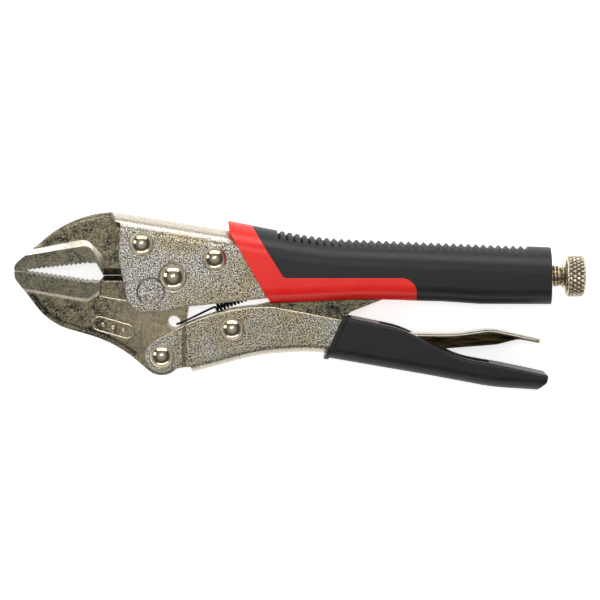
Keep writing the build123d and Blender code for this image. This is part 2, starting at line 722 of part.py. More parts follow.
def lower_grip():
    half = GRIP_WIDTH / 2
    fit = SLEEVE_FIT
    front, bead_end = lower_grip_front(0), lower_grip_front(BEAD_WIDTH)
    end = LOWER_GRIP_END
    heel = [(end - 5.5, -49.9, 5.0), (end - 0.9, -46.2, 3.0)]
    window = outline(*front, (front[1][0], -60.0), *heel, (end, -41.0), (end - 1, -16.8))
    grip = lower_grip_body(0) & plate(window, FAR)
    tail = grip.edges().filter_by(lambda edge: edge.bounding_box().min.X > end - 2.5)
    grip = fillet(tail, 0.8)
    grip += lower_grip_body(BEAD) & plate(outline(*front, *bead_end[::-1]), FAR)
    cavity = floor_bar(OUTER + fit, -fit, FLOOR_BEND + fit)
    cavity = cavity & plate(offset(rim_outline(), fit, kind=Kind.INTERSECTION), FAR)
    grip -= cavity & between(0, end - TAIL_WALL)
    middle = (LOWER_SLOT_START + LOWER_SLOT_END) / 2
    grip -= Pos(middle, -20, 0) * Box(LOWER_SLOT_END - LOWER_SLOT_START, 60, 2 * INNER)
    grip -= Pos(68, -15, 0) * Box(20, 12, 2 * INNER)
    groove_end = lower_grip_front(BEAD_WIDTH + 0.9)
    grip -= slab(outline(*bead_end, *groove_end[::-1]), half - BEAD_GROOVE, half + 1)
    return grip - disc(RELEASE_PIVOT, RELEASE_HEAD_RADIUS + fit, OUTER + RELEASE_DOME + fit)


# ======== the parts ========
def build_all():
    riveted = OUTER - INNER + EAR_INNER
    return {
        "fixed_handle": fixed_handle(),
        "fixed_jaw": fixed_jaw(),
        "jaw_rivet_front": rivet(FRONT_RIVET, SHANK_RADIUS, OUTER, HEAD_RADIUS, DOME),
        "jaw_rivet_rear": rivet(REAR_RIVET, SHANK_RADIUS, OUTER, HEAD_RADIUS, DOME),
        "jaw_pivot_rivet": rivet(Vector(), PIVOT_SHANK_RADIUS, riveted, PIVOT_HEAD_RADIUS, DOME),
        "lower_jaw": lower_jaw(),
        "handle_pivot_rivet": rivet(HANDLE_PIVOT, SHANK_RADIUS, EAR_OUTER, HEAD_RADIUS, DOME),
        "movable_handle": movable_handle(),
        "link_pivot_rivet": rivet(LINK_PIVOT, SHANK_RADIUS, OUTER, HEAD_RADIUS, DOME),
        "toggle_link": toggle_link(),
        "release_lever": release_lever(),
        "release_rivet": rivet(RELEASE_PIVOT, RELEASE_SHANK_RADIUS, OUTER, RELEASE_HEAD_RADIUS, RELEASE_DOME),
        "opening_spring": opening_spring(),
        "adjusting_screw": adjusting_screw(),
        "screw_knob": screw_knob(),
        "upper_grip": upper_grip(),
        "upper_grip_accent": upper_grip_accent(),
        "lower_grip": lower_grip(),
    }


def main():
    os.makedirs("parts", exist_ok=True)
    parts = build_all()
    box = Compound(children=[Part() + part for part in parts.values()]).bounding_box()
    shift = Vector(-(box.min.X + box.max.X) / 2, -(box.min.Y + box.max.Y) / 2, -box.min.Z)
    print("shift", shift)
    print("size", box.size)
    for name, part in parts.items():
        solids = part.solids()
        print(name, len(solids), round(part.volume), part.is_valid)
        export_step(Pos(shift) * (Part() + part), f"parts/{name}.step")
    places = {
        "jaw_pivot": Vector(),
        "handle_pivot": HANDLE_PIVOT,
        "link_pivot": LINK_PIVOT,
        "release_pivot": RELEASE_PIVOT,
        "screw_front": Vector(SCREW_TIP, 0),
        "screw_knob": Vector(KNOB_FRONT, 0),
        "bite": Vector(-40, 2),
    }
    for name, place in places.items():
        print(name, place + shift)


main()
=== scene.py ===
# %% [markdown]
# # Locking pliers
# The tool lies on its side: jaws to the left, adjusting knob to the right. The steel parts come from
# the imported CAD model, which fixes every size and place, and this lesson gives them their finishes.
# The spring, the screw and its knob are made again here, because their wire turns, thread and knurl
# are finer than the CAD model draws them.

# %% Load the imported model
import json
import math

import bmesh
import bpy
from mathutils import Matrix, Vector


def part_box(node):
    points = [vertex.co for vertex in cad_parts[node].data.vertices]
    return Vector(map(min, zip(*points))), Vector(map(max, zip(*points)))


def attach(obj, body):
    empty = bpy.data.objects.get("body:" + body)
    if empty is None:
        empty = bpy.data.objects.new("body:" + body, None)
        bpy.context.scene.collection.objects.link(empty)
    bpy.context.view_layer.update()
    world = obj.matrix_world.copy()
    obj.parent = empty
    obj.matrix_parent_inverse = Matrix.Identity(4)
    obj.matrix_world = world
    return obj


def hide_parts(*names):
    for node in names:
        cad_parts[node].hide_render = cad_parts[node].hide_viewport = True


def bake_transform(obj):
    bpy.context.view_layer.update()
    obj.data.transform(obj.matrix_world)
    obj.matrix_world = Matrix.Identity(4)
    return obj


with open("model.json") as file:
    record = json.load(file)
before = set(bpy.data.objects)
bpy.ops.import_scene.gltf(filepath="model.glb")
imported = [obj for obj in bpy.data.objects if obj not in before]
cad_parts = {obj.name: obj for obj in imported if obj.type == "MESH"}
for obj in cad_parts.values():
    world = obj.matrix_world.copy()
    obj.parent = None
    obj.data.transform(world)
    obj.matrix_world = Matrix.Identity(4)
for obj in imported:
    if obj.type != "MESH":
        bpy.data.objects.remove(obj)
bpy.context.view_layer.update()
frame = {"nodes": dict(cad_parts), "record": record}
joints = {joint["name"]: joint for joint in frame["record"]["behaviour"]["joints"]}

# %% [markdown]
# Toolmakers measure from a datum. Here it is the big rivet that the lower jaw swings on, at the
# middle of the tool's thickness. A small function turns millimetres from that datum into Blender's
# metres, so every number below can be checked with a ruler on the real tool.

# %% Measure from the jaw's pivot
MM = 0.001
DATUM = Vector(joints["jaw_swing"]["pos_m"])


def at(x, y, z=0.0):
    """A point x, y, z millimetres from the jaw's pivot: x to the knob, y to the back, z up."""
    return DATUM + Vector((x, y, z)) * MM


print("datum:", [round(v, 4) for v in DATUM])

# %% [markdown]
# Colours are picked as sRGB hex codes, as a paint chart gives them, but light adds up in linear
# values. One function converts them. A second small function adds any shader node, sets its
# options and joins its inputs, which keeps each material down to a readable list.

# %% Colour and node helpers
def colour(code):
    """An sRGB hex code as a linear colour with full opacity."""
    parts = [int(code[i : i + 2], 16) / 255 for i in (1, 3, 5)]
    linear = [c / 12.92 if c <= 0.04045 else ((c + 0.055) / 1.055) ** 2.4 for c in parts]
    return (*linear, 1.0)


def add(tree, kind, inputs=None, **settings):
    """Add a shader node with its settings; an input is a value or another node's output."""
    made = tree.nodes.new("ShaderNode" + kind)
    for key, value in settings.items():
        setattr(made, key, value)
    for socket, value in (inputs or {}).items():
        if isinstance(value, bpy.types.NodeSocket):
            tree.links.new(value, made.inputs[socket])
        else:
            made.inputs[socket].default_value = value
    return made


def begin(name):
    """A new material, its node tree, the surface position in millimetres from the datum, and the normal."""
    made = bpy.data.materials.new(name)
    made.use_nodes = True
    made.node_tree.nodes.clear()
    tree = made.node_tree
    coords = add(tree, "TexCoord")
    from_datum = add(tree, "VectorMath", {0: coords.outputs["Object"], 1: DATUM}, operation="SUBTRACT")
    where = add(tree, "VectorMath", {0: from_datum.outputs[0], "Scale": 1000.0}, operation="SCALE")
    return made, tree, where.outputs[0], coords.outputs["Normal"]


def end(tree, **sockets):
    """Close the material with its one surface shader."""
    named = {key.replace("_", " "): value for key, value in sockets.items()}
    surface = add(tree, "BsdfPrincipled", named)
    add(tree, "OutputMaterial", {"Surface": surface.outputs[0]})


# Most of a noise texture's values lie in this span, so ramps that read a whole texture start here.
NOISE_SPAN = {"From Min": 0.3, "From Max": 0.7}
print("sRGB #808080 is", round(colour("#808080")[0], 3), "in linear light")

# %% [markdown]
# ** Edges.** Plating wears and polishes first where two faces meet, and those edges also get a painted highlight.
# The Bevel node gives the normal that a slightly rounded edge would have. Where that differs from the
# true normal there is an edge, so their dot product is a ready mask, and the same node rounds the edge
# for the light.

# %% Edge mask
FLAT_DOT = 0.995
EDGE_DOT = 0.86


def edges(tree, radius_mm):
    """The rounded normal, and a mask that is 1 on sharp edges and 0 on flats."""
    rounded = add(tree, "Bevel", {"Radius": radius_mm * MM}, samples=4)
    true = add(tree, "NewGeometry")
    both = {0: rounded.outputs[0], 1: true.outputs["Normal"]}
    same = add(tree, "VectorMath", both, operation="DOT_PRODUCT")
    ends = {"Value": same.outputs["Value"], "From Min": FLAT_DOT, "From Max": EDGE_DOT}
    return rounded.outputs[0], add(tree, "MapRange", ends).outputs[0]


print("an edge starts where the normals part by", round(math.degrees(math.acos(FLAT_DOT)), 1), "degrees")

# %% [markdown]
# ** Pressed handle sheet.** The handles are folded from 2 mm mild steel, tumbled in a barrel with
# stones, then nickel plated. Tumbling leaves pits about 0.4 mm across, which show as a salt and
# pepper grain. The rounded back, the folds and the sheared edges get a painted highlight, so they are
# brighter than the flat cheeks; on the edges it is partly wear. The plating has a faint yellow cast
# that drifts over the surface. Painted shade darkens a line round the pressed pad and down the ears' step.

# %% Finish of the handles
PAD = (-9.6, -6.1)
PAD_RADIUS = 5.9
PAD_LINE = {"From Min": 0.5, "From Max": 0.22}
EAR_STEP = 4.8
STEP_LINE = {"From Min": 1.5, "From Max": 0.2, "To Max": 0.75}
STEP_REACH = {"From Min": -16.0, "From Max": -18.0}
PITS_PER_MM = 1.75
FINISH = {}


def painted_press_shade(tree, where):
    """A mask of painted shade: a dark line round the pressed pad, and a band down the ears' step."""
    axes = add(tree, "SeparateXYZ", {0: where})
    x_off = add(tree, "Math", {0: axes.outputs[0], 1: PAD[0]}, operation="SUBTRACT")
    y_off = add(tree, "Math", {0: axes.outputs[1], 1: PAD[1]}, operation="SUBTRACT")
    flat = add(tree, "CombineXYZ", {0: x_off.outputs[0], 1: y_off.outputs[0]})
    away = add(tree, "VectorMath", {0: flat.outputs[0]}, operation="LENGTH")
    past = add(tree, "Math", {0: away.outputs["Value"], 1: PAD_RADIUS}, operation="SUBTRACT")
    near = add(tree, "Math", {0: past.outputs[0]}, operation="ABSOLUTE")
    ring = add(tree, "MapRange", {"Value": near.outputs[0], **PAD_LINE})
    from_step = add(tree, "Math", {0: axes.outputs[0], 1: EAR_STEP}, operation="SUBTRACT")
    beside = add(tree, "Math", {0: from_step.outputs[0]}, operation="ABSOLUTE")
    band = add(tree, "MapRange", {"Value": beside.outputs[0], **STEP_LINE})
    below = add(tree, "MapRange", {"Value": axes.outputs[1], **STEP_REACH})
    step = add(tree, "Math", {0: band.outputs[0], 1: below.outputs[0]}, operation="MULTIPLY")
    return add(tree, "Math", {0: ring.outputs[0], 1: step.outputs[0]}, operation="MAXIMUM").outputs[0]


def nickel_on_tumbled_sheet():
    made, tree, where, normal = begin("nickel on tumbled pressed steel")
    rounded, edge_wear_and_highlight = edges(tree, 0.8)
    # Pits are about 0.4 mm apart on the real sheet, and drawn 0.57 mm apart so that they show.
    grain = add(tree, "TexNoise", {"Vector": where, "Scale": PITS_PER_MM, "Detail": 2.0, "Roughness": 0.8})
    salt = add(tree, "MapRange", {"Value": grain.outputs[0], "From Min": 0.44, "From Max": 0.57})
    drift = add(tree, "TexNoise", {"Vector": where, "Scale": 0.05, "Detail": 3.0})
    yellow = add(tree, "MapRange", {"Value": drift.outputs[0], "From Min": 0.38, "From Max": 0.68})
    dark = add(
        tree, "Mix", {0: yellow.outputs[0], 6: colour("#433f39"), 7: colour("#413a2b")}, data_type="RGBA"
    )
    light = add(
        tree, "Mix", {0: yellow.outputs[0], 6: colour("#dedad1"), 7: colour("#cfc3a2")}, data_type="RGBA"
    )
    cheek = add(
        tree, "Mix", {0: salt.outputs[0], 6: dark.outputs[2], 7: light.outputs[2]}, data_type="RGBA"
    )
    # Painted shade: the pad's rim and the ears' step are darkened towards #1f1c17.
    lines = painted_press_shade(tree, where)
    press_shaded = add(tree, "Mix", {0: lines, 6: cheek.outputs[2], 7: colour("#1f1c17")}, data_type="RGBA")
    # Painted highlight: faces that turn away from the flat cheek, and the edges, are lightened towards
    # #cdc6b7; on the edges this is partly wear.
    facing = add(tree, "SeparateXYZ", {0: normal})
    flat = add(tree, "Math", {0: facing.outputs[2]}, operation="ABSOLUTE")
    fold = add(tree, "MapRange", {"Value": flat.outputs[0], "From Min": 0.985, "From Max": 0.8})
    highlight_and_wear = add(tree, "Math", {0: fold.outputs[0], 1: edge_wear_and_highlight}, operation="MAXIMUM")
    patchy = add(
        tree, "MapRange", {"Value": grain.outputs[0], "From Min": 0.3, "From Max": 0.6, "To Min": 0.55}
    )
    soft = add(tree, "Math", {0: highlight_and_wear.outputs[0], 1: patchy.outputs[0]}, operation="MULTIPLY")
    skin = add(
        tree, "Mix", {0: soft.outputs[0], 6: press_shaded.outputs[2], 7: colour("#cdc6b7")}, data_type="RGBA"
    )
    gloss = {"Value": grain.outputs[0], "From Min": 0.35, "From Max": 0.65, "To Min": 0.5, "To Max": 0.26}
    rough = add(tree, "MapRange", gloss)
    roughness = add(tree, "Mix", {0: soft.outputs[0], 2: rough.outputs[0], 3: 0.26})
    height = add(
        tree, "Bump", {"Strength": 0.8, "Distance": 0.00008, "Height": grain.outputs[0], "Normal": rounded}
    )
    end(
        tree,
        Base_Color=skin.outputs[2],
        Metallic=1.0,
        Roughness=roughness.outputs[0],
        Normal=height.outputs[0],
    )
    return made


FINISH["nickel_sheet"] = nickel_on_tumbled_sheet()
print("finish:", FINISH["nickel_sheet"].name)

# %% [markdown]
# ** Release lever.** The lever is folded from the same strip but isn't tumbled, so it keeps the
# smooth, drawn skin of rolled steel under its nickel. Its cheeks are painted nearly black with a golden
# cast, a painted dark reflection of the room beside the tool, and its top edge gets a painted highlight.

# %% Finish of the release lever
ROLLING = (0.1, 1.0, 1.0)


def nickel_on_rolled_strip():
    made, tree, where, normal = begin("nickel on smooth rolled strip")
    rounded, edge_wear_and_highlight = edges(tree, 0.8)
    # Rolling marks run along the strip: about 0.3 mm apart, drawn 1 mm apart.
    stretch = add(tree, "Mapping", {"Vector": where, "Scale": ROLLING})
    drawn = add(
        tree, "TexNoise", {"Vector": stretch.outputs[0], "Scale": 1.0, "Detail": 4.0, "Roughness": 0.6}
    )
    streak = add(tree, "MapRange", {"Value": drawn.outputs[0], "From Min": 0.38, "From Max": 0.66})
    # Painted dark reflection: the cheeks' colour is near-black with a golden cast.
    cheek = add(
        tree, "Mix", {0: streak.outputs[0], 6: colour("#15120c"), 7: colour("#453c25")}, data_type="RGBA"
    )
    # Painted highlight: faces that turn from the flat cheek, such as the top edge, are lightened towards
    # #d9d3c2.
    facing = add(tree, "SeparateXYZ", {0: normal})
    flat = add(tree, "Math", {0: facing.outputs[2]}, operation="ABSOLUTE")
    fold = add(tree, "MapRange", {"Value": flat.outputs[0], "From Min": 0.96, "From Max": 0.7})
    highlight_and_wear = add(tree, "Math", {0: fold.outputs[0], 1: edge_wear_and_highlight}, operation="MAXIMUM")
    skin = add(
        tree, "Mix", {0: highlight_and_wear.outputs[0], 6: cheek.outputs[2], 7: colour("#d9d3c2")}, data_type="RGBA"
    )
    rough = {"Value": drawn.outputs[0], **NOISE_SPAN, "To Min": 0.22, "To Max": 0.36}
    roughness = add(tree, "MapRange", rough)
    height = add(
        tree, "Bump", {"Strength": 0.3, "Distance": 0.00005, "Height": drawn.outputs[0], "Normal": rounded}
    )
    end(
        tree,
        Base_Color=skin.outputs[2],
        Metallic=1.0,
        Roughness=roughness.outputs[0],
        Normal=height.outputs[0],
    )
    return made


OWN_FINISH = {"release_lever": nickel_on_rolled_strip()}
print("finish:", OWN_FINISH["release_lever"].name)

# %% [markdown]
# **Forged skin.** The jaws and the link are drop-forged chrome alloy steel, blasted and plated.
# Forging scale leaves a soft mottle a few millimetres across with an olive cast, and blasting a
# grit over it. Two noises of different size, mixed, give the two together.

# %% Forged skin
HUB_PATCH = (-6.0, -19.0, 0.0)
HUB_REACH = {"From Min": 27.0, "From Max": 8.0, "To Max": 0.42}
MOTTLE_PER_MM = 0.17
GRIT_PER_MM = 1.5


def forged_skin(tree, where):
    """The mottle, the grit and the colour of a forged face."""
    mottle = add(
        tree,
        "TexNoise",
        {"Vector": where, "Scale": MOTTLE_PER_MM, "Detail": 6.0, "Roughness": 0.62, "Distortion": 0.6},
    )
    cloud = add(tree, "MapRange", {"Value": mottle.outputs[0], "From Min": 0.42, "From Max": 0.6})
    grit = add(tree, "TexNoise", {"Vector": where, "Scale": GRIT_PER_MM, "Detail": 2.0, "Roughness": 0.8})
    speck = add(tree, "MapRange", {"Value": grit.outputs[0], "From Min": 0.46, "From Max": 0.6})
    base = add(
        tree, "Mix", {0: cloud.outputs[0], 6: colour("#191814"), 7: colour("#857a5b")}, data_type="RGBA"
    )
    grey = add(
        tree, "Mix", {0: speck.outputs[0], 6: colour("#151412"), 7: colour("#aea892")}, data_type="RGBA"
    )
    # Grit shows over the whole face; the clouds carry the olive cast.
    share = add(tree, "MapRange", {"Value": grit.outputs[0], **NOISE_SPAN, "To Min": 0.3, "To Max": 0.6})
    body = add(tree, "Mix", {0: share.outputs[0], 6: base.outputs[2], 7: grey.outputs[2]}, data_type="RGBA")
    # The broad hub is lighter, fading out between 8 and 27 mm from its middle, while the jaws' outer rounds
    # keep their dark scale.
    from_hub = add(tree, "VectorMath", {0: where, 1: HUB_PATCH}, operation="DISTANCE")
    hub = add(tree, "MapRange", {"Value": from_hub.outputs["Value"], **HUB_REACH})
    body = add(tree, "Mix", {0: hub.outputs[0], 6: body.outputs[2], 7: colour("#b5a98a")}, data_type="RGBA")
    return mottle.outputs[0], grit.outputs[0], body.outputs[2]


print("forging grit drawn every", round(1 / GRIT_PER_MM, 2), "mm")

# %% [markdown]
# **Ground lands.** The two gripping lands stand above the forged faces and were ground flat across
# the jaw, which leaves fine lines all in one direction. Stretching the noise's coordinates draws
# them. A face's height above the tool's middle tells where the land and its slope are.

# %% Finish of the jaws and the link
BODY_FACE = 6.3
LAND_FACE = 7.3
GRINDING = (2.0, 0.16, 0.16)


def ground_land(tree, where, body):
    """The colour of the ground land: the forged colour under fine grinding lines."""
    # The lines are 0.25 mm apart on the real land, and drawn 0.5 mm apart so that they show.
    stretch = add(tree, "Mapping", {"Vector": where, "Scale": GRINDING})
    lines = add(
        tree, "TexNoise", {"Vector": stretch.outputs[0], "Scale": 1.0, "Detail": 2.0, "Roughness": 0.7}
    )
    ground = add(tree, "MapRange", {"Value": lines.outputs[0], **NOISE_SPAN, "To Max": 0.45})
    land = add(tree, "Mix", {0: ground.outputs[0], 6: body, 7: colour("#75756a")}, data_type="RGBA")
    return land.outputs[2]


def land_masks(tree, where, normal, grit):
    """A mask of the flat lands, and one of the slope below them, which gets a painted highlight broken up
    by pits.
    """
    axes = add(tree, "SeparateXYZ", {0: where})
    side = add(tree, "Math", {0: axes.outputs[2]}, operation="ABSOLUTE")
    on_land = {"Value": side.outputs[0], "From Min": LAND_FACE - 0.15, "From Max": LAND_FACE - 0.03}
    above = {"Value": side.outputs[0], "From Min": BODY_FACE + 0.02, "From Max": BODY_FACE + 0.12}
    flat_land = add(tree, "MapRange", on_land)
    risen = add(tree, "MapRange", above)
    facing = add(tree, "SeparateXYZ", {0: normal})
    flat = add(tree, "Math", {0: facing.outputs[2]}, operation="ABSOLUTE")
    slope = add(tree, "MapRange", {"Value": flat.outputs[0], "From Min": 0.995, "From Max": 0.96})
    bevel = add(tree, "Math", {0: risen.outputs[0], 1: slope.outputs[0]}, operation="MULTIPLY")
    # Painted highlight on the slope: strong on the upper jaw, weaker on the lower jaw.
    by_jaw = {"Value": axes.outputs[1], "From Min": -1.0, "From Max": 1.0, "To Min": 0.4, "To Max": 0.95}
    upper = add(tree, "MapRange", by_jaw)
    pitted = add(tree, "MapRange", {"Value": grit, "From Min": 0.3, "From Max": 0.5, "To Min": 0.5})
    bright = add(tree, "Math", {0: bevel.outputs[0], 1: upper.outputs[0]}, operation="MULTIPLY")
    slope_highlight = add(tree, "Math", {0: bright.outputs[0], 1: pitted.outputs[0]}, operation="MULTIPLY")
    return flat_land.outputs[0], slope_highlight.outputs[0]


def nickel_on_forged_steel():
    made, tree, where, normal = begin("nickel on forged steel")
    rounded, edge_wear_and_highlight = edges(tree, 0.45)
    mottle, grit, body = forged_skin(tree, where)
    flat_land, slope = land_masks(tree, where, normal, grit)
    land = ground_land(tree, where, body)
    lands = add(tree, "Mix", {0: flat_land, 6: body, 7: land}, data_type="RGBA")
    # Painted highlight on the slope below the lands, and on the edges, where it is partly wear, lightens
    # towards #e4dccb.
    edge_wear_and_highlight_share = add(tree, "Math", {0: edge_wear_and_highlight, 1: 0.85}, operation="MULTIPLY")
    shine = add(tree, "Math", {0: slope, 1: edge_wear_and_highlight_share.outputs[0]}, operation="MAXIMUM")
    skin = add(
        tree, "Mix", {0: shine.outputs[0], 6: lands.outputs[2], 7: colour("#e4dccb")}, data_type="RGBA"
    )
    rough = {"Value": mottle, "From Min": 0.35, "From Max": 0.65, "To Min": 0.24, "To Max": 0.4}
    roughness = add(tree, "MapRange", rough)
    relief = add(tree, "Math", {0: mottle, 1: 2.5, 2: grit}, operation="MULTIPLY_ADD")
    height = add(
        tree, "Bump", {"Strength": 0.7, "Distance": 0.0001, "Height": relief.outputs[0], "Normal": rounded}
    )
    end(
        tree,
        Base_Color=skin.outputs[2],
        Metallic=1.0,
        Roughness=roughness.outputs[0],
        Normal=height.outputs[0],
    )
    return made


FINISH["nickel_forged"] = nickel_on_forged_steel()
print("finish:", FINISH["nickel_forged"].name)

# %% [markdown]
# ** Rivets.** The rivet heads are cold-headed and barrel polished before plating, so they are the
# only mirrors on the tool. A little uneven roughness and a shallow dimpling keep the mirror from
# looking like glass. Painted shade darkens the foot of each dome, where it turns down to the sheet.

# %% Finish of the rivets
def bright_nickel():
    made, tree, where, normal = begin("bright nickel on rivet steel")
    facing = add(tree, "SeparateXYZ", {0: normal})
    flat = add(tree, "Math", {0: facing.outputs[2]}, operation="ABSOLUTE")
    # Painted shade: steep faces at the foot of the dome darken towards #5c4f3a.
    foot_shade = add(tree, "MapRange", {"Value": flat.outputs[0], "From Min": 0.74, "From Max": 0.5})
    smear = add(tree, "TexNoise", {"Vector": where, "Scale": 0.5, "Detail": 4.0})
    tint = add(
        tree, "Mix", {0: smear.outputs[0], 6: colour("#ebe0c8"), 7: colour("#bfae86")}, data_type="RGBA"
    )
    skin = add(
        tree, "Mix", {0: foot_shade.outputs[0], 6: tint.outputs[2], 7: colour("#5c4f3a")}, data_type="RGBA"
    )
    rough = {"Value": smear.outputs[0], **NOISE_SPAN, "To Min": 0.08, "To Max": 0.2}
    roughness = add(tree, "MapRange", rough)
    height = add(tree, "Bump", {"Strength": 0.2, "Distance": 0.0001, "Height": smear.outputs[0]})
    end(
        tree,
        Base_Color=skin.outputs[2],
        Metallic=1.0,
        Roughness=roughness.outputs[0],
        Normal=height.outputs[0],
    )
    return made


FINISH["nickel_bright"] = bright_nickel()
print("finish:", FINISH["nickel_bright"].name)

# %% [markdown]
# ** Screw and knob.** Both are turned from bar and plated, and the plating over the knurl has a
# yellow, brassy look. The roots are darker than the crests. The mesh stores how far each point is
# below the crest, and the material darkens the colour by that depth.

# %% Finish of the screw and the knob
def brassy_nickel():
    made, tree, where, _ = begin("yellowish nickel on turned steel")
    depth = add(tree, "Attribute", attribute_name="root")
    stain = add(tree, "TexNoise", {"Vector": where, "Scale": 0.9, "Detail": 4.0, "Roughness": 0.6})
    metal = add(
        tree, "Mix", {0: stain.outputs[0], 6: colour("#f4ecdc"), 7: colour("#cdb88e")}, data_type="RGBA"
    )
    # Darker with depth below the crest, towards #3d3220.
    root_darkening = add(
        tree, "MapRange", {"Value": depth.outputs["Fac"], "From Min": 0.25, "From Max": 0.8, "To Max": 0.92}
    )
    skin = add(
        tree, "Mix", {0: root_darkening.outputs[0], 6: metal.outputs[2], 7: colour("#3d3220")}, data_type="RGBA"
    )
    rough = {"Value": stain.outputs[0], **NOISE_SPAN, "To Min": 0.2, "To Max": 0.38}
    roughness = add(tree, "MapRange", rough)
    height = add(tree, "Bump", {"Strength": 0.25, "Distance": 0.00005, "Height": stain.outputs[0]})
    end(
        tree,
        Base_Color=skin.outputs[2],
        Metallic=1.0,
        Roughness=roughness.outputs[0],
        Normal=height.outputs[0],
    )
    return made


FINISH["nickel_brassy"] = brassy_nickel()
print("finish:", FINISH["nickel_brassy"].name)

# %% [markdown]
# **Spring wire.** Hard-drawn wire, black oxide and a film of oil. Oxide is a thin dark layer over
# metal, so the wire keeps a metal's sharp highlight on a nearly black ground.

# %% Finish of the spring
def oxide_on_wire():
    made, tree, where, _ = begin("black oxide on spring wire")
    patch = add(tree, "TexNoise", {"Vector": where, "Scale": 1.2, "Detail": 3.0})
    skin = add(
        tree, "Mix", {0: patch.outputs[0], 6: colour("#131415"), 7: colour("#34322f")}, data_type="RGBA"
    )
    rough = {"Value": patch.outputs[0], **NOISE_SPAN, "To Min": 0.28, "To Max": 0.45}
    roughness = add(tree, "MapRange", rough)
    height = add(tree, "Bump", {"Strength": 0.2, "Distance": 0.00003, "Height": patch.outputs[0]})
    end(
        tree,
        Base_Color=skin.outputs[2],
        Metallic=0.8,
        Roughness=roughness.outputs[0],
        Normal=height.outputs[0],
    )
    return made


FINISH["black_wire"] = oxide_on_wire()
print("finish:", FINISH["black_wire"].name)

# %% [markdown]
# ** Grips.** Both colours are thermoplastic rubber, moulded over the handles in one tool. The mould
# was spark-eroded, which leaves a fine even texture and a satin gloss. Rubber picks up dust on its
# edges, which also get a painted highlight, and colour and gloss both drift a little. The upper side
# of a grip is painted paler than its underside, as light from above would make it.

# %% Finish of the grips
TEXTURE_PER_MM = 2.0
TOP_LIGHT_SPAN = {"From Min": -6.0, "From Max": 12.0, "To Max": 0.6}


def moulded_rubber(name, deep, pale, edge_dust_and_highlight, rough):
    made, tree, where, _ = begin(name)
    rounded, edge_wear_and_highlight = edges(tree, 0.5)
    drift = add(tree, "TexNoise", {"Vector": where, "Scale": 0.11, "Detail": 4.0, "Roughness": 0.6})
    # Spark-eroded texture: 0.15 mm on the real grip, drawn at 0.5 mm so that it shows.
    texture = add(
        tree, "TexNoise", {"Vector": where, "Scale": TEXTURE_PER_MM, "Detail": 2.0, "Roughness": 0.6}
    )
    # Painted light: the upper side of a grip is paler than its underside.
    axes = add(tree, "SeparateXYZ", {0: where})
    painted_top_light = add(tree, "MapRange", {"Value": axes.outputs[1], **TOP_LIGHT_SPAN})
    haze = add(
        tree, "MapRange", {"Value": drift.outputs[0], "From Min": 0.35, "From Max": 0.75, "To Max": 0.5}
    )
    top_light_and_haze = add(
        tree, "Math", {0: painted_top_light.outputs[0], 1: haze.outputs[0]}, operation="ADD", use_clamp=True
    )
    tone = add(tree, "Mix", {0: top_light_and_haze.outputs[0], 6: colour(deep), 7: colour(pale)}, data_type="RGBA")
    # Edges lighten towards the edge colour: partly dust, partly painted highlight.
    edge_dust_and_highlight_share = add(tree, "Math", {0: edge_wear_and_highlight, 1: 0.4}, operation="MULTIPLY")
    skin = add(tree, "Mix", {0: edge_dust_and_highlight_share.outputs[0], 6: tone.outputs[2], 7: colour(edge_dust_and_highlight)}, data_type="RGBA")
    uneven = {"Value": drift.outputs[0], **NOISE_SPAN, "To Min": rough - 0.05, "To Max": rough + 0.08}
    roughness = add(tree, "MapRange", uneven)
    height = add(
        tree,
        "Bump",
        {"Strength": 0.12, "Distance": 0.00005, "Height": texture.outputs[0], "Normal": rounded},
    )
    end(
        tree,
        Base_Color=skin.outputs[2],
        Roughness=roughness.outputs[0],
        IOR=1.46,
        Normal=height.outputs[0],
    )
    return made


FINISH["black_rubber"] = moulded_rubber("black moulded rubber", "#070808", "#1d1f1e", "#3a3d3b", 0.42)
FINISH["red_rubber"] = moulded_rubber("red moulded rubber", "#ec170e", "#fb2b1d", "#ff6a55", 0.33)
print("finishes:", sorted(FINISH))

# %% [markdown]
# Each CAD node names its material slot in the record, so one loop dresses them all. The lever shares
# the handles' slot, being the same plated steel, but has a skin of its own.

# %% Dress the CAD nodes
for part in frame["record"]["subparts"]:
    mesh = frame["nodes"][part["node"]].data
    mesh.materials.clear()
    mesh.materials.append(OWN_FINISH.get(part["node"]) or FINISH[part["material_slot"]])

# %% [markdown]
# Four short helpers make the new pieces. One finishes a mesh as a named piece on its body. One
# sweeps a round wire along points, with Blender's own curve bevel. One turns a profile on the
# screw's axis and cuts a relief into it, and the last is the wave that both thread and knurl follow.

# %% Piece helpers
def piece(name, mesh, slot, body=None):
    """A named piece with its finish, riding on a body when one is given."""
    for polygon in mesh.polygons:
        polygon.use_smooth = True
    made = bpy.data.objects.new(name, mesh)
    bpy.context.scene.collection.objects.link(made)
    mesh.materials.clear()
    mesh.materials.append(FINISH[slot])
    if body:
        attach(made, body)
    print(name, len(mesh.polygons), "faces")
    return made


def swept(name, points, radius_mm, closed=False, sides=3):
    """A mesh of round wire along points in the row frame."""
    curve = bpy.data.curves.new(name, "CURVE")
    curve.dimensions = "3D"
    curve.bevel_depth = radius_mm * MM
    curve.bevel_resolution = sides
    curve.use_fill_caps = True
    spline = curve.splines.new("POLY")
    spline.points.add(len(points) - 1)
    for target, point in zip(spline.points, points):
        target.co = (*point, 1.0)
    spline.use_cyclic_u = closed
    holder = bpy.data.objects.new(name, curve)
    bpy.context.scene.collection.objects.link(holder)
    bpy.context.view_layer.update()
    mesh = bpy.data.meshes.new_from_object(holder)
    bpy.data.objects.remove(holder)
    return mesh


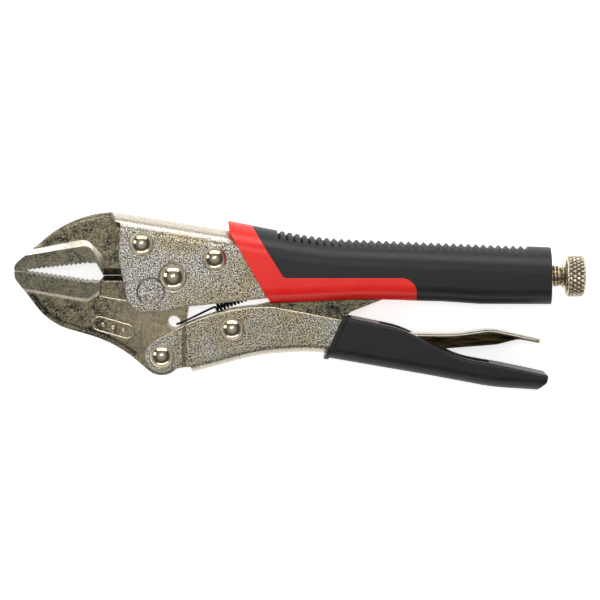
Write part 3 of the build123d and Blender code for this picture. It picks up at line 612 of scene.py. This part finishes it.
def turned(name, stations, segments, relief, deepest):
    """A mesh turned on the screw's axis. Each station is x, radius, and the share of the relief cut."""
    bm = bmesh.new()
    root = bm.verts.layers.float.new("root")
    rings = []
    for x, radius, share in stations:
        ring = []
        for i in range(segments):
            angle = 2 * math.pi * i / segments
            cut = share * relief(angle, x) if share else 0.0
            left = radius - cut
            vert = bm.verts.new(at(x, left * math.cos(angle), left * math.sin(angle)))
            vert[root] = cut / deepest
            ring.append(vert)
        rings.append(ring)
    for low, high in zip(rings, rings[1:]):
        for i in range(segments):
            j = (i + 1) % segments
            bm.faces.new((low[i], high[i], high[j], low[j]))
    bmesh.ops.remove_doubles(bm, verts=bm.verts, dist=1e-6)
    bmesh.ops.recalc_face_normals(bm, faces=bm.faces)
    mesh = bpy.data.meshes.new(name)
    bm.to_mesh(mesh)
    bm.free()
    return mesh


def wave(turns):
    """A triangle wave: 0 at each whole turn, 1 half way between."""
    return 1 - abs(2 * (turns % 1.0) - 1)


# %% [markdown]
# **Adjusting screw.** A rolled M10 thread, 1.5 mm pitch. On a true helix the groove moves one pitch
# along for each turn, so the depth at a point depends on its distance along the axis minus its share
# of a turn. A plain spigot at the end carries the knob.

# %% Adjusting screw
PITCH = 1.5
THREAD_RADIUS = 4.9
THREAD_DEPTH = 0.7
CREST_FLAT = 1.25
CHAMFER = 0.9
RUN_OUT = 1.0
SPIGOT_RADIUS = 3.0
STATION = PITCH / 10
screw_low, screw_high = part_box("adjusting_screw")
TIP = (screw_low.x - DATUM.x) / MM
SPIGOT_END = (screw_high.x - DATUM.x) / MM
knob_low, knob_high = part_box("screw_knob")
KNOB_FRONT = (knob_low.x - DATUM.x) / MM
SHOULDER = KNOB_FRONT - 0.4
ROOT_RADIUS = THREAD_RADIUS - THREAD_DEPTH


def thread_relief(angle, x):
    return THREAD_DEPTH * (1 - min(1.0, CREST_FLAT * wave(x / PITCH - angle / (2 * math.pi))))


count = int((SHOULDER - RUN_OUT - TIP - RUN_OUT) / STATION)
threaded = [(TIP + RUN_OUT + i * STATION, THREAD_RADIUS, 1.0) for i in range(count + 1)]
before = [(TIP, 0.0, 0.0), (TIP, ROOT_RADIUS - CHAMFER, 0.0), (TIP + CHAMFER, ROOT_RADIUS, 0.0)]
after = [(SHOULDER - CHAMFER, ROOT_RADIUS, 0.0), (SHOULDER, ROOT_RADIUS, 0.0)]
spigot = [(SHOULDER, SPIGOT_RADIUS, 0.0), (SPIGOT_END, SPIGOT_RADIUS, 0.0), (SPIGOT_END, 0.0, 0.0)]
profile = before + threaded + after + spigot
screw_mesh = turned("adjusting_screw_thread", profile, 48, thread_relief, THREAD_DEPTH)
screw = piece("adjusting_screw_thread", screw_mesh, "nickel_brassy", "screw_body")
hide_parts("adjusting_screw")

# %% [markdown]
# **Knob.** A knurling tool rolls two crossing sets of grooves, one left-handed and one right-handed,
# and the diamonds are what stands between them. The depth is therefore the deeper of two triangle
# waves that climb in opposite directions. A whole number of diamonds fits round the knob, so the
# pattern closes. The knurl fades out over the rounded rims.

# %% Knob
KNOB_RADIUS = (knob_high.z - knob_low.z) / 2 / MM
KNOB_END = (knob_high.x - DATUM.x) / MM
COLLAR = 1.4
COLLAR_RADIUS = 5.2
BARREL = KNOB_FRONT + COLLAR
ROUND = 2.2
DIAMONDS = 27
KNURL_DEPTH = 0.75
KNURL_SLANT = 0.62
KNURL_PLAIN = 0.5
KNURL_FADE = 0.9
BORE = 3.05
BORE_WALL = 1.6
RIM_STATIONS = 72
DIAMOND = 2 * math.pi * KNOB_RADIUS / DIAMONDS


def knurl_relief(angle, x):
    around = angle * DIAMONDS / (2 * math.pi)
    along = x / DIAMOND * KNURL_SLANT
    return KNURL_DEPTH * (1 - min(wave(around + along), wave(around - along)) ** 0.7)


def barrel(x):
    """The knob's radius at x, with both rims rounded."""
    from_rim = min(x - BARREL, KNOB_END - x, ROUND)
    return KNOB_RADIUS - ROUND + math.sqrt(max(0.0, ROUND**2 - (ROUND - from_rim) ** 2))


def knurl_share(x):
    """How much of the knurl is cut at x: none on the rims, all of it between them."""
    from_rim = min(x - KNOB_FRONT - COLLAR, KNOB_END - x)
    return min(1.0, max(0.0, (from_rim - KNURL_PLAIN) / KNURL_FADE))


BORE_END = KNOB_END - BORE_WALL
eased = [0.5 - 0.5 * math.cos(math.pi * i / RIM_STATIONS) for i in range(RIM_STATIONS + 1)]
body = [BARREL + (KNOB_END - KNOB_FRONT - COLLAR) * share for share in eased]
inside = [(BORE_END, 0.0, 0.0), (BORE_END, BORE, 0.0), (KNOB_FRONT, BORE, 0.0)]
collar = [(KNOB_FRONT, 4.9, 0.0), (KNOB_FRONT + 0.3, COLLAR_RADIUS, 0.0), (BARREL, COLLAR_RADIUS, 0.0)]
rim = [(x, barrel(x), knurl_share(x)) for x in body]
face = [(KNOB_END, 4.0, 0.0), (KNOB_END - 0.25, 3.6, 0.0), (KNOB_END - 0.3, 0.0, 0.0)]
knob_mesh = turned("adjusting_knob", inside + collar + rim + face, DIAMONDS * 14, knurl_relief, KNURL_DEPTH)
knob = piece("adjusting_knob", knob_mesh, "nickel_brassy", "knob_body")
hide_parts("screw_knob")

# %% [markdown]
# **Opening spring.** One length of 0.9 mm wire: a hook bent down into the lower jaw's hole, a
# straight lead, twenty turns, and a short tail to the tab inside the fixed handle. The wire's line is
# drawn as points and its two sharp corners are cut off again and again, which rounds them as a
# bending pin would.

# %% Opening spring
WIRE = 0.48
COIL_RADIUS = 2.2
TURNS = 20
STEPS_PER_TURN = 24
COIL_PITCH = 1.62
COIL_START = Vector((18.4, -13.3, 0.0))
ANCHOR = Vector((57.0, 0.8, 0.0))
HOOK = 6.25


def softened(points, rounds=3):
    """Cut every corner of a line, keeping its two ends."""
    for _ in range(rounds):
        cut = [points[0]]
        for a, b in zip(points, points[1:]):
            cut += [a.lerp(b, 0.25), a.lerp(b, 0.75)]
        points = [*cut, points[-1]]
    return points


run = (ANCHOR - COIL_START).normalized()
across = Vector((0.0, 0.0, 1.0))
beside = run.cross(across)
coil = []
for i in range(TURNS * STEPS_PER_TURN + 1):
    turn = i / STEPS_PER_TURN
    angle = 2 * math.pi * turn
    ring = (across * math.cos(angle) + beside * math.sin(angle)) * COIL_RADIUS
    coil.append(COIL_START + run * (COIL_PITCH * turn) + ring)
corners = [(1.7, -20.7, 3.25), (1.7, -20.7, HOOK), (6.6, -18.7, HOOK), (15.5, -14.5, 2.2)]
lead = softened([Vector(c) for c in corners] + [coil[0]])
tail = softened([coil[-1], COIL_START + run * (TURNS * COIL_PITCH + 1.2), ANCHOR - Vector((1.4, 0.0, 0.0))])
wire = [at(*p) for p in lead[:-1] + coil + tail[1:]]
spring = piece("opening_spring_coil", swept("opening_spring_coil", wire, WIRE), "black_wire")
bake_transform(spring)
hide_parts("opening_spring")

# %% [markdown]
# **Coined rings.** When a rivet is headed, its tool presses a thin ring into the sheet round the
# dome. It is small, but it draws the dark line that makes a rivet look set in and not stuck on.

# %% Rings round the rivets
DOME = 2.6
RING_GAP = 0.32
RING_LIFT = 0.03
RING_WIRE = 0.17
RIVETS = {
    "jaw_rivet_front": "fixed_body",
    "jaw_rivet_rear": "fixed_body",
    "jaw_pivot_rivet": "fixed_body",
    "handle_pivot_rivet": "handle_body",
    "link_pivot_rivet": "handle_body",
}
for name, body_name in RIVETS.items():
    low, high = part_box(name)
    middle = (low + high) / 2
    radius = (high.x - low.x) / 2 + RING_GAP * MM
    for side in (1, -1):
        seat = middle.z + side * ((high.z - low.z) / 2 - (DOME + RING_LIFT) * MM)
        angles = [2 * math.pi * i / 64 for i in range(64)]
        ring = [
            Vector((middle.x + radius * math.cos(a), middle.y + radius * math.sin(a), seat)) for a in angles
        ]
        label = f"{name}_ring_{'top' if side > 0 else 'under'}"
        piece(label, swept(label, ring, RING_WIRE, closed=True, sides=2), "nickel_sheet", body_name)

# %% [markdown]
# **Forging mark.** The lower jaw carries a raised oval rim from the forging die. Here it frames
# three plain dots. Casting a ray down on the jaw finds the height of its face, so the mark sits on
# the metal whatever the jaw's thickness is.

# %% Mark on the lower jaw
MARK = Vector((-26.2, -22.1, 0.0))
MARK_LENGTH = 18.5
MARK_WIDTH = 6.0
RIM_WIRE = 0.36
DOT_STEP = 4.6
DOT_RADIUS = 0.5
DOT_WIRE = 0.53
TILT = math.radians(-16.0)
jaw = frame["nodes"]["lower_jaw"]
lean = Matrix.Rotation(TILT, 3, "Z")


def jaw_face(side):
    """Height of the lower jaw's face under the mark, in millimetres from the middle."""
    hit, place, _, _ = jaw.ray_cast(at(MARK.x, MARK.y, 30.0 * side), Vector((0, 0, -side)))
    return (place.z - DATUM.z) / MM


def oval(steps=20):
    """Points round a straight-sided oval, centred on zero."""
    half, radius = MARK_LENGTH / 2 - MARK_WIDTH / 2, MARK_WIDTH / 2
    points = []
    for end_x, first in ((half, -90), (-half, 90)):
        for i in range(steps + 1):
            angle = math.radians(first + 180 * i / steps)
            points.append(Vector((end_x + radius * math.cos(angle), radius * math.sin(angle), 0.0)))
    return points


for side, label in ((1, "top"), (-1, "under")):
    level = Vector((0.0, 0.0, jaw_face(side)))
    outline = [at(*(MARK + lean @ p + level)) for p in oval()]
    mark = swept("jaw_mark", outline, RIM_WIRE, closed=True)
    piece("jaw_mark_rim_" + label, mark, "nickel_bright", "jaw_body")
    for number, offset in enumerate((-DOT_STEP, 0.0, DOT_STEP)):
        centre = MARK + lean @ Vector((offset, 0.0, 0.0)) + level
        turn = [math.radians(22.5 * i) for i in range(16)]
        circle = [at(*(centre + DOT_RADIUS * Vector((math.cos(a), math.sin(a), 0.0)))) for a in turn]
        dot = swept("dot", circle, DOT_WIRE, closed=True)
        piece(f"jaw_mark_dot_{label}_{number}", dot, "nickel_bright", "jaw_body")

# %% [markdown]
# **Crease.** The press tool that folds the movable handle leaves a thin raised line just above the
# fold, near the ear. It is a hair of metal, half sunk in the cheek.

# %% Crease on the movable handle
CHEEK = 8.5
CREASE = ((8.6, -35.0), (16.0, -33.3), (24.0, -31.4), (33.0, -29.9))
CREASE_RADIUS = 0.2
for side, label in ((1, "top"), (-1, "under")):
    path = [at(*p) for p in softened([Vector((x, y, CHEEK * side)) for x, y in CREASE])]
    piece("fold_crease_" + label, swept("crease", path, CREASE_RADIUS), "nickel_sheet", "handle_body")

# %% [markdown]
# **Rubbed edges.** The press leaves a small rolled lip along the movable handle's upper edge, and
# the hand polishes it. Rays cast straight down on the handle find where its cheek ends, and a thin
# tube follows that edge. The lower jaw has a lip like it where its face steps down to the cutter.

# %% Lips on the movable handle and the lower jaw
handle = frame["nodes"]["movable_handle"]
HANDLE_LIP = 0.26
LIP_INSET = 0.2
STEP_LIP = ((-29.2, -9.0), (-26.6, -9.45), (-23.4, -9.95), (-19.6, -10.6))
STEP_RADIUS = 0.34


def upper_edge(x, side):
    """The highest point of the handle's cheek at this x, or None where there is no cheek."""
    for step in range(440):
        start = at(x, 4.0 - 0.1 * step, 30.0 * side)
        hit, place, _, _ = handle.ray_cast(start, Vector((0, 0, -side)))
        if hit and side * (place.z - DATUM.z) > 5.0 * MM:
            return Vector((place.x, place.y - LIP_INSET * MM, place.z))
    return None


for side, label in ((1, "top"), (-1, "under")):
    found = [upper_edge(-10.0 + 2.0 * i, side) for i in range(43)]
    path = [point for point in found if point]
    piece("handle_lip_" + label, swept("lip", path, HANDLE_LIP), "nickel_bright", "handle_body")
    # The jaw swings close under the cheek, so this lip's crest stays just below the jaw's face.
    level = (BODY_FACE - STEP_RADIUS - 0.02) * side
    step = [at(x, y, level) for x, y in STEP_LIP]
    piece("jaw_step_lip_" + label, swept("lip", step, STEP_RADIUS), "nickel_bright", "jaw_body")
    print("the", label, "lip follows", len(path), "points of the handle's edge")

# %% [markdown]
# **Floor.** The tool lies on a sheet of opal acrylic that is lit from below, so the gaps in the tool
# stay white. A little emission on a matt white surface does this, and still takes a soft shadow.

# %% Floor
def lit_acrylic():
    made = bpy.data.materials.new("lit opal acrylic sheet")
    made.use_nodes = True
    tree = made.node_tree
    tree.nodes.clear()
    coords = add(tree, "TexCoord")
    fibre = add(tree, "TexNoise", {"Vector": coords.outputs["Object"], "Scale": 300.0, "Detail": 2.0})
    tone = add(
        tree, "Mix", {0: fibre.outputs[0], 6: colour("#f7f7f6"), 7: colour("#ffffff")}, data_type="RGBA"
    )
    end(
        tree,
        Base_Color=tone.outputs[2],
        Roughness=0.9,
        Emission_Color=tone.outputs[2],
        Emission_Strength=0.75,
    )
    return made


bm = bmesh.new()
bmesh.ops.create_grid(bm, x_segments=8, y_segments=8, size=3.0)
floor_mesh = bpy.data.meshes.new("floor")
bm.to_mesh(floor_mesh)
bm.free()
floor = bpy.data.objects.new("floor", floor_mesh)
bpy.context.scene.collection.objects.link(floor)
floor_mesh.materials.append(lit_acrylic())
floor.location.z = -0.00005
print("floor:", [round(v, 2) for v in floor.dimensions])

# %% [markdown]
# **Lights.** Metal shows its surroundings, so the light is mostly about what there is to reflect. A
# bright strip along the back and another along the front light the folded edges.

# %% Lights
def softbox(name, place, size, watts):
    """A rectangular lamp at a place, aimed at the tool."""
    lamp = bpy.data.lights.new(name, "AREA")
    lamp.shape = "RECTANGLE"
    lamp.size, lamp.size_y = size
    lamp.energy = watts
    made = bpy.data.objects.new(name, lamp)
    bpy.context.scene.collection.objects.link(made)
    made.location = place
    made.rotation_euler = (Vector((0, 0, 0.01)) - Vector(place)).to_track_quat("-Z", "Y").to_euler()
    print(name, watts, "W")


softbox("back strip", (0.0, 1.0, 0.75), (1.6, 0.4), 11.0)
softbox("front strip", (0.1, -1.0, 0.5), (1.6, 0.2), 3.0)
softbox("left box", (-1.1, 0.3, 0.8), (0.4, 0.4), 2.0)
softbox("overhead", (-0.05, 0.22, 1.3), (0.5, 0.22), 2.0)

# %% [markdown]
# **Sky.** The sky is bright overhead and near the horizon and darker between, which gives the
# polished domes of the rivets their dark bands.

# %% Sky
OVERHEAD = {"From Min": 0.72, "From Max": 0.97, "To Min": 0.08, "To Max": 0.48}
HORIZON = {"From Min": 0.5, "From Max": 0.1, "To Min": 0.0, "To Max": 0.6}
world = bpy.data.worlds.new("studio")
bpy.context.scene.world = world
world.use_nodes = True
sky = world.node_tree
sky.nodes.clear()
look = add(sky, "TexCoord")
up = add(sky, "SeparateXYZ", {0: look.outputs["Generated"]})
top = add(sky, "MapRange", {"Value": up.outputs[2], **OVERHEAD})
low_sky = add(sky, "MapRange", {"Value": up.outputs[2], **HORIZON})
both = add(sky, "Math", {0: top.outputs[0], 1: low_sky.outputs[0]}, operation="ADD")
glow = add(sky, "Background", {"Color": colour("#fbfcff"), "Strength": both.outputs[0]})
add(sky, "OutputWorld", {"Surface": glow.outputs[0]})
print("sky nodes:", len(sky.nodes))

# %% [markdown]
# **Camera.** The tool is seen from almost straight above, from 1.2 m, leaning 4 degrees towards
# its back, so the crown of the upper grip and the rounded back of the handle show a little.

# %% Camera
DISTANCE = 1.2
LEAN = math.radians(4.0)
FIELD = 0.264
SENSOR = 36.0
lens = bpy.data.cameras.new("camera")
lens.sensor_width = SENSOR
lens.lens = SENSOR * DISTANCE / FIELD
lens.clip_start = 0.01
camera = bpy.data.objects.new("camera", lens)
bpy.context.scene.collection.objects.link(camera)
aim = at(55.6, -10.5)
camera.location = aim + Vector((0.0, math.sin(LEAN), math.cos(LEAN))) * DISTANCE
camera.rotation_euler = (-LEAN, 0.0, 0.0)
bpy.context.scene.camera = camera
bpy.context.scene.view_settings.view_transform = "Standard"
print("lens:", round(lens.lens, 1), "mm")
